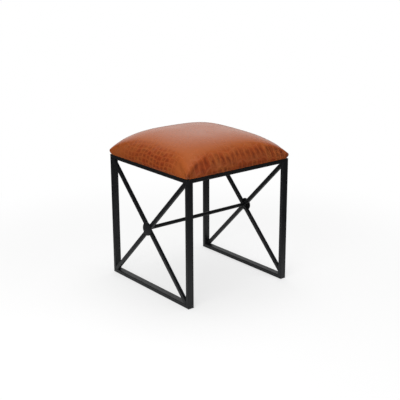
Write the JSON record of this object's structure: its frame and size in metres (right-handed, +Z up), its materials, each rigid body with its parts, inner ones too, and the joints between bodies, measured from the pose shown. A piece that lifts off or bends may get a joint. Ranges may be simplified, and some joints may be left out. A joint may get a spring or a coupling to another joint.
{
  "type": "x frame stool",
  "caption": "Square backless stool: a welded black tube frame with crossed side braces and a stretcher rod carries a crowned, leather-covered seat.",
  "frame": {"origin": "on the floor, under the middle of the stool", "axes": "+Z up; +X from the left side frame to the right one, along the stretcher rod; +Y from the front to the back. The braced side frames are at -X and +X."},
  "size_m": [0.4146, 0.413, 0.497],
  "materials": {
    "powder_coat": "satin black powder coat over welded steel",
    "leather": "semi-gloss rust-orange leather with an embossed reptile grain",
    "plywood": "raw birch plywood, sanded",
    "foam": "cream polyurethane foam, cut",
    "fibre": "white polyester fibre wrap",
    "dust_cloth": "black non-woven dust cover cloth",
    "zinc": "bright zinc plated steel",
    "nylon": "black moulded nylon"
  },
  "bodies": {
    "root": {"left_front_post": "powder_coat", "left_back_post": "powder_coat", "left_top_rail": "powder_coat", "left_bottom_rail": "powder_coat", "left_long_brace": "powder_coat", "left_upper_half_brace": "powder_coat", "left_lower_half_brace": "powder_coat", "left_hub_disc": "powder_coat", "right_front_post": "powder_coat", "right_back_post": "powder_coat", "right_top_rail": "powder_coat", "right_bottom_rail": "powder_coat", "right_long_brace": "powder_coat", "right_upper_half_brace": "powder_coat", "right_lower_half_brace": "powder_coat", "right_hub_disc": "powder_coat", "front_top_rail": "powder_coat", "back_top_rail": "powder_coat", "stretcher_rod": "powder_coat", "left_front_seat_tab": "powder_coat", "right_front_seat_tab": "powder_coat", "left_back_seat_tab": "powder_coat", "right_back_seat_tab": "powder_coat", "left_front_floor_glide": "nylon", "right_front_floor_glide": "nylon", "left_back_floor_glide": "nylon", "right_back_floor_glide": "nylon", "left_front_seat_screw": "zinc", "left_front_seat_washer": "zinc", "left_front_seat_nut": "zinc", "right_front_seat_screw": "zinc", "right_front_seat_washer": "zinc", "right_front_seat_nut": "zinc", "left_back_seat_screw": "zinc", "left_back_seat_washer": "zinc", "left_back_seat_nut": "zinc", "right_back_seat_screw": "zinc", "right_back_seat_washer": "zinc", "right_back_seat_nut": "zinc", "seat_board": "plywood", "foam_pad": "foam", "fibre_wrap": "fibre", "leather_cover": "leather", "dust_cover": "dust_cloth"}
  },
  "joints": []
}
